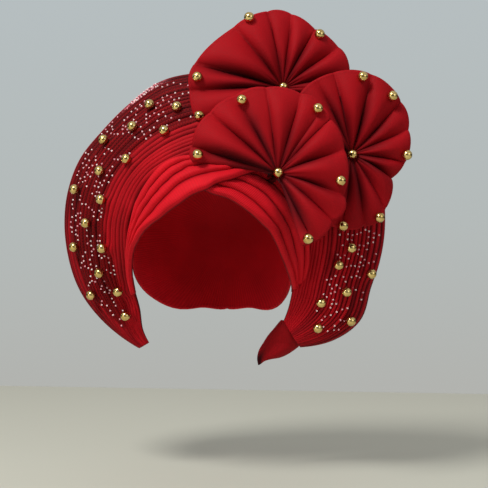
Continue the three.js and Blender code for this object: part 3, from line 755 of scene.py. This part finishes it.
def wing_place(u, v):
    k = min(int(v * PLEATS), PLEATS - 1)
    share = v * PLEATS - k
    across = mix(pleat_border(k, u), pleat_border(k + 1, u), share)
    inner, outer = wing_edges(u)
    netted = in_belt(u, across) * (1 - 0.85 * smooth_step(u, 0.6, 0.75))
    relief = pleat_height(k, across) * pleat_room(inner, outer) * pleat_rise(share)
    # Painted shade in the pleat grooves: each groove has a dark band of its own width, which widens further
    # out and on the left of the wing and narrows on the right.
    shut = pleat_waves[k].shut * (1 + 0.6 * noise.noise(Vector((u * 14, k * 3.7, 5))))
    shut += 0.2 * smooth_step(across, 0.2, 0.42) + 0.05 - 0.17 * smooth_step(u, 0.55, 0.75)
    groove_shade = max(0, 1 - share / shut, 1 - (1 - share) / shut) ** (1 - 0.45 * smooth_step(across, 0.2, 0.6))
    rim = smooth_step(across, 0.9, 0.925) * smooth_step(u, FROST_FROM - 0.02, FROST_FROM)
    frosted = rim * (1 - smooth_step(u, FROST_TO, FROST_TO + 0.02))
    facts = {"painted_fold_shade": groove_shade, "from_edge": (1 - across) * 75, "ribbed": 0.3}
    facts.update(netted=netted, frosted=frosted)
    return drawn_up(wing_point(u, across, relief), wing_normal(inner, outer)), facts


wing_cloth = cloth_sheet("wing_cloth", 168, 189, wing_place, (620, 120), wing_red)
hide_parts("pleated_wing")

# %% [markdown]
# ## The tie end
# Below the right ear the last of the cloth comes out from under the wing as a small flap. Its left edge is
# turned back at the foot, and that corner carries the darkest painted shade of the whole object.

# %% Tie end
TieRow = namedtuple("TieRow", "left left_drop right right_drop")
TIE_ROWS = [TieRow(*row) for row in (
    (-0.086, -0.02, 0.1, 0.02), (-0.25, 0.15, 0.22, 0.2), (-0.42, 0.31, 0.34, 0.36),
    (-0.55, 0.47, 0.41, 0.475), (-0.66, 0.62, 0.12, 0.67), (-0.7, 0.78, -0.2, 0.79),
    (-0.67, 0.92, -0.54, 0.81),
)]
TIE_LENGTH, TIE_WIDTH, TIE_RIPPLE = 43, 34, 3


def tie_place(u, v):
    side = mix(smooth_value(TIE_ROWS, "left", v), smooth_value(TIE_ROWS, "right", v), u)
    drop = mix(smooth_value(TIE_ROWS, "left_drop", v), smooth_value(TIE_ROWS, "right_drop", v), u)
    top, foot = wing_point(1, 0), wing_point(1, 1)
    back = (foot.y - top.y) * u * min(1, 2 * v)
    ripple = TIE_RIPPLE * math.sin(2 * math.pi * u) * math.sin(math.pi * v)
    turned = (1 - smooth_step(u, 0.08, 0.3)) * smooth_step(v, 0.5, 0.85)
    # Painted shade: the turned corner is darkest, and the left edge and the top under the wing are darkened
    # too.
    shade = max(turned, 0.5 * (1 - smooth_step(u, 0.02, 0.1)), 0.45 * (1 - smooth_step(v, 0, 0.2)))
    point = top + Vector((TIE_WIDTH * side, back + ripple - 1.2 * turned, -TIE_LENGTH * drop))
    return point, {"painted_fold_shade": shade, "from_edge": 20 * min(u, 1 - u), "ribbed": 0.3}


tie_cloth = cloth_sheet("tie_end_cloth", 30, 40, tie_place, (30, 45), tie_red)
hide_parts("tie_end")

# %% [markdown]
# ## The rosettes
# A rosette is a strip of cloth whose one edge is drawn together on a thread, so that it opens as a fan with
# pressed folds. Each table row is one pressed fold: its angle, how far it reaches, how far the cloth between
# this fold and the next one reaches, how much that lobe lies over its neighbours, how much it swells, and how
# deep the valley at the fold is, which also sets how dark and how far out its painted shade goes. A neck of
# the same cloth joins the fan to the turban behind it, and the neck and the hub are painted dark as shade.

# %% Rosette tables
Fold = namedtuple("Fold", "angle reach crest over puff deep")
FRONT_FOLDS = [Fold(*row) for row in (
    (173, 1, 1.05, -1, 0.6, 0.7), (163, 1.04, 1.07, 0.3, 1, 1), (139, 1.05, 1.05, 0, 0.9, 0.6),
    (118, 1.025, 1.03, 2.2, 0.4, 0.85), (98, 1, 0.99, 0, 0.9, 0.4), (73, 0.96, 0.97, 0.8, 0.9, 0.65),
    (55, 0.92, 0.91, 1.8, 0.8, 0.5), (46, 0.87, 0.85, -0.4, 1, 0.5), (18, 0.81, 0.8, 0.6, 1, 0.75),
    (-21, 0.8, 0.88, 1.6, 1, 0.9), (-43, 0.83, 0.9, 0.2, 1, 0.65), (-65, 0.91, 0.91, -0.8, 0.6, 0.95),
    (-73, 0.9, 0.9, 0, 1, 0.8),
)]
TOP_FOLDS = [Fold(*row) for row in (
    (204, 1.15, 1.15, 0.5, 1, 0.5), (183, 1.14, 1.15, 1.6, 0.9, 0.9), (167, 1.11, 0.985, 0, 1.2, 1),
    (129, 0.935, 0.94, 1, 0.9, 0.55), (101, 0.945, 0.945, 0, 0.8, 0.5), (82, 0.9, 0.855, 1.2, 0.9, 0.5),
    (61, 0.815, 0.825, 0, 1, 0.8), (35, 0.84, 0.84, 0.8, 1, 0.6), (8, 0.81, 0.81, 0, 1, 0.7),
    (-22, 0.78, 0.78, 0, 1, 0.5),
)]
RIGHT_FOLDS = [Fold(*row) for row in (
    (137, 0.95, 0.98, 0, 1, 0.9), (118, 0.99, 0.99, 1.4, 0.8, 0.8), (105, 0.99, 0.99, 0, 1, 0.55),
    (77, 0.97, 0.92, 0.6, 1, 0.8), (47, 0.865, 0.815, 0, 0.9, 0.7), (23, 0.735, 0.69, 0.9, 1, 0.5),
    (-8, 0.64, 0.59, 0, 0.9, 0.7), (-32, 0.55, 0.66, 0.8, 1, 0.9), (-60, 0.77, 0.865, 0, 0.9, 0.55),
    (-82, 0.865, 0.905, 1.2, 0.8, 0.85), (-100, 0.89, 0.91, 0, 0.8, 0.75), (-119, 0.9, 0.9, 0, 1, 0.7),
)]
Rosette = namedtuple("Rosette", "node seat stand yaw pitch folds")
front_seat = over_head(55, 31, WRAP_LIFT + FOLD_HEIGHT)
ROSETTES = [
    Rosette("rosette_front", front_seat, (0.146, -0.325, 0.067), 12, 8, FRONT_FOLDS),
    Rosette("rosette_top", wing_point(0.59, 0.55), (-0.058, -0.124, 0.322), 14, 8, TOP_FOLDS),
    Rosette("rosette_right", wing_point(0.67, 0.72), (0.032, -0.407, 0.106), 20, 0, RIGHT_FOLDS),
]
HUB_RADIUS, NECK_RADIUS, NECK_SINK, HUB_RECESS, LOBE_HEIGHT, FULL_LOBE = 2.4, 5, 2.5, 6, 13, 26
NECK_SHARE, LEAN_OVER = 0.12, 0.72


# %% Rosette cloth
def rosette_frame(rosette):
    turn, tilt = math.radians(rosette.yaw), math.radians(rosette.pitch)
    facing = Vector((math.sin(turn) * math.cos(tilt), -math.cos(turn) * math.cos(tilt), math.sin(tilt)))
    right = Vector((math.cos(turn), math.sin(turn), 0))
    return rosette.seat + Vector(rosette.stand) * ROSETTE_RADIUS, facing, right, facing.cross(right)


def valley_shade(from_fold, row, deep):
    """How much painted shade lies beside a pressed fold; it opens out and fades towards the rim."""
    fade = 1 - smooth_step(row, 0.5 * deep, 0.4 + 0.8 * deep)
    soft = (0.5 + 0.5 * deep) * fade * math.exp(-((from_fold / (1.8 + 6 * row)) ** 2))
    crease = 0.6 * (1 - smooth_step(row, 0.7, 0.97)) * math.exp(-((from_fold / 1.5) ** 2))
    return max(soft, crease)


def rosette_place(rosette):
    hub, facing, right, up = rosette_frame(rosette)
    sunk = rosette.seat - Vector(rosette.stand).normalized() * NECK_SINK
    folds = rosette.folds

    def place(u, v):
        at = u * (len(folds) - 1)
        i = min(int(at + 1e-6), len(folds) - 2)
        share = max(0, at - i)
        a, b = folds[i], folds[i + 1]
        row = (v - NECK_SHARE) / (1 - NECK_SHARE)
        turn = math.radians(mix(a.angle, b.angle, share))
        if row < 0:
            turn = mix(math.radians(folds[0].angle) - 2 * math.pi * u, turn, v / NECK_SHARE)
        spoke = right * math.cos(turn) + up * math.sin(turn)
        if row < 0:
            out = mix(NECK_RADIUS, HUB_RADIUS, (v / NECK_SHARE) ** 0.5)
            centre = sunk.lerp(hub - facing * HUB_RECESS, v / NECK_SHARE)
            # Painted shade: the neck is coloured almost as the shaded copy.
            return centre + spoke * out, {"painted_fold_shade": 0.9}
        bulge = 4 * share * (1 - share) * (a.crest - (a.reach + b.reach) / 2)
        rim = ROSETTE_RADIUS * (mix(a.reach, b.reach, share) + bulge)
        distance = mix(HUB_RADIUS, rim, row)
        width = min(1, abs(b.angle - a.angle) / FULL_LOBE)
        floor = 0.6 * (1 - mix(a.deep, b.deep, share))
        puff = mix(floor, 1, math.sin(math.pi * share**LEAN_OVER) ** 0.85) * width * a.puff
        height = LOBE_HEIGHT * puff * (3 * row * (1 - row) + 0.3 * row) - HUB_RECESS * (1 - row) ** 2
        height += a.over * smooth_step(row, 0.02, 0.4)
        height += 1.1 * math.sin(27 * turn + i) * math.exp(-distance / 16) * smooth_step(row, 0, 0.1)
        point = hub + spoke * distance + facing * height
        point = drawn_up(point + facing * 1.6 * noise.noise(point * 0.035) * row, facing)
        arc = math.radians(abs(b.angle - a.angle)) * distance
        at_folds = max(valley_shade(share * arc, row, a.deep), valley_shade((1 - share) * arc, row, b.deep))
        # Painted shade: the cloth round the hub is darkened, as are the valleys beside the folds.
        depth = max(at_folds, 0.6 * (1 - smooth_step(distance, 4, 14)))
        return point, {"painted_fold_shade": depth, "from_edge": rim - distance, "ribbed": 0.35}

    return place


for rosette in ROSETTES:
    lobes = len(rosette.folds) - 1
    swept = math.radians(rosette.folds[0].angle - rosette.folds[-1].angle)
    size = (swept * ROSETTE_RADIUS * 0.6, ROSETTE_RADIUS)
    piece = cloth_sheet(
        rosette.node + "_cloth", lobes * 18, 44, rosette_place(rosette), size, rosette_red
    )
    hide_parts(rosette.node)

# %% [markdown]
# ## Gold beads
# The beads are hollow balls with a gold-coloured plating, sewn on through a hole at each side. Each stands
# where its solid does. The ball is a sphere with its two poles drawn in, so each hole shows as a dimple.

# %% Gold material
gold, tree, shader = new_material("Gold plating")
place = tree.nodes.new("ShaderNodeTexCoord").outputs["Object"]
plating = noise_node(tree, place, 160, 2)
scratch = noise_node(tree, place, 2400, 3)
worn = range_node(tree, plating, 0.35, 0.65, 0, 1)
colour = mix_colour(tree, "MIX", worn, linear(226, 200, 132), linear(200, 170, 100))
tree.links.new(colour, shader.inputs["Base Color"])
tree.links.new(range_node(tree, scratch, 0.3, 0.7, 0.12, 0.24), shader.inputs["Roughness"])
tree.links.new(bump(tree, scratch, 0.15, 0.00005), shader.inputs["Normal"])
shader.inputs["Metallic"].default_value = 1.0

# %% Beads
AT_POLE = 0.999
HOLE_DRAWN_IN = 0.6
for node in bead_nodes:
    low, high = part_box(node)
    bm = bmesh.new()
    bmesh.ops.create_uvsphere(bm, u_segments=20, v_segments=14, radius=BEAD_RADIUS * MM)
    for pole in [v for v in bm.verts if abs(v.co.z) > AT_POLE * BEAD_RADIUS * MM]:
        pole.co.z *= HOLE_DRAWN_IN
    bmesh.ops.rotate(bm, verts=bm.verts, matrix=Matrix.Rotation(math.pi / 2, 3, "Y"))
    bmesh.ops.translate(bm, vec=(low + high) / 2, verts=bm.verts)
    for face in bm.faces:
        face.smooth = True
    bead = mesh_object("gold_" + node, bm, gold)
    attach(bead, "root")
    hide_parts(node)
print("beads:", len(bead_nodes))

# %% [markdown]
# ## Stones
# Small foiled stones are glued on the net in loose crooked rows. Each is an eight-sided cone with its top cut
# off, which is as many faces as a 2 mm stone needs when there are hundreds. They go on the pressed edges of
# the pleats, and a bead always has room round it.

# %% Stone material
crystal, tree, shader = new_material("Foiled stones")
place = tree.nodes.new("ShaderNodeTexCoord").outputs["Object"]
tint = range_node(tree, noise_node(tree, place, 210, 0), 0.42, 0.6, 0, 1)
colour = mix_colour(tree, "MIX", tint, linear(252, 226, 226), linear(240, 158, 170))
tree.links.new(colour, shader.inputs["Base Color"])
polish = range_node(tree, noise_node(tree, place, 1500, 1), 0.3, 0.7, 0.08, 0.2)
tree.links.new(polish, shader.inputs["Roughness"])
shader.inputs["Metallic"].default_value = 0.1
shader.inputs["Coat Weight"].default_value = 0.5

# %% Places of the stones
STONE_ROOM, CHAIN_ROOM, BEAD_ROOM = 3.7, 6, 2.2
CHAINS = 420
STEP_ALONG, STEP_ACROSS, STEP_TURN = 0.0072, 0.058, 0.7
stone_spots = []


def ridge(along, across):
    """The pressed edge of a pleat near a place, and its number, as if all pleats were equally wide."""
    k = min(max(int(across * PLEATS), 0), PLEATS - 1)
    return mix(pleat_border(k, along), pleat_border(k + 1, along), PRESSED), k


def try_stone(along, across, room_round):
    across, k = ridge(along, across)
    if in_belt(along, across) < 0.5:
        return
    inner, outer = wing_edges(along)
    relief = pleat_height(k, across) * pleat_room(inner, outer)
    point = wing_point(along, across, relief + CLOTH_WALL / 2)
    if any((point - other).length < room_round for other, _ in stone_spots):
        return
    if any((point - bead).length < BEAD_RADIUS + BEAD_ROOM for bead in bead_places):
        return
    stone_spots.append((point, wing_normal(inner, outer)))


chance = random.Random(23)
for chain in range(CHAINS):
    along, across = chance.uniform(0.06, 0.97), chance.uniform(0.15, 1)
    heading = chance.uniform(0, 2 * math.pi)
    for step in range(chance.randint(2, 6)):
        try_stone(along, across, STONE_ROOM if step else CHAIN_ROOM)
        along += STEP_ALONG * math.cos(heading)
        across += STEP_ACROSS * math.sin(heading)
        heading += chance.uniform(-STEP_TURN, STEP_TURN)
        if not (0 < along < 1 and 0 < across < 1):
            break
print("stones on the net:", len(stone_spots))

# %% Stones along the frosted rim
RIM_STONES, RIM_ROWS, RIM_RELIEF = 11, (0.915, 0.945, 0.975), 3
for i in range(RIM_STONES):
    along = mix(FROST_FROM, FROST_TO, (i + 0.5) / RIM_STONES)
    for across in RIM_ROWS:
        shifted = along + chance.uniform(-0.0014, 0.0014)
        inner, outer = wing_edges(shifted)
        point = wing_point(shifted, across + chance.uniform(-0.006, 0.006), RIM_RELIEF)
        stone_spots.append((point, wing_normal(inner, outer)))
print("stones with those on the rim:", len(stone_spots))

# %% Stones as one mesh
STONE_FOOT, STONE_TOP, STONE_HEIGHT, STONE_LIFT = 0.9, 0.5, 0.7, 0.3
bm = bmesh.new()
for point, normal in stone_spots:
    made = bmesh.ops.create_cone(
        bm,
        cap_ends=True,
        segments=8,
        radius1=STONE_FOOT * MM,
        radius2=STONE_TOP * MM,
        depth=STONE_HEIGHT * MM,
    )["verts"]
    bmesh.ops.rotate(bm, verts=made, matrix=normal.to_track_quat("Z", "Y").to_matrix())
    bmesh.ops.translate(bm, verts=made, vec=(point + ABOUT_HEAD + normal * STONE_LIFT) * MM)
stones = mesh_object("wing_stones", bm, crystal)
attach(stones, "root")
print("wing_stones", len(stone_spots), "stones,", len(stones.data.polygons), "faces")

# %% [markdown]
# ## Size of the dressed object
# The box round all the dressed pieces is printed beside the box of the solids.

# %% Size of the dressed object
drawn_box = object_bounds()
for word, box in (("solids", cad_box), ("dressed", drawn_box)):
    print(word, [[round(c * 1000, 1) for c in p] for p in box])
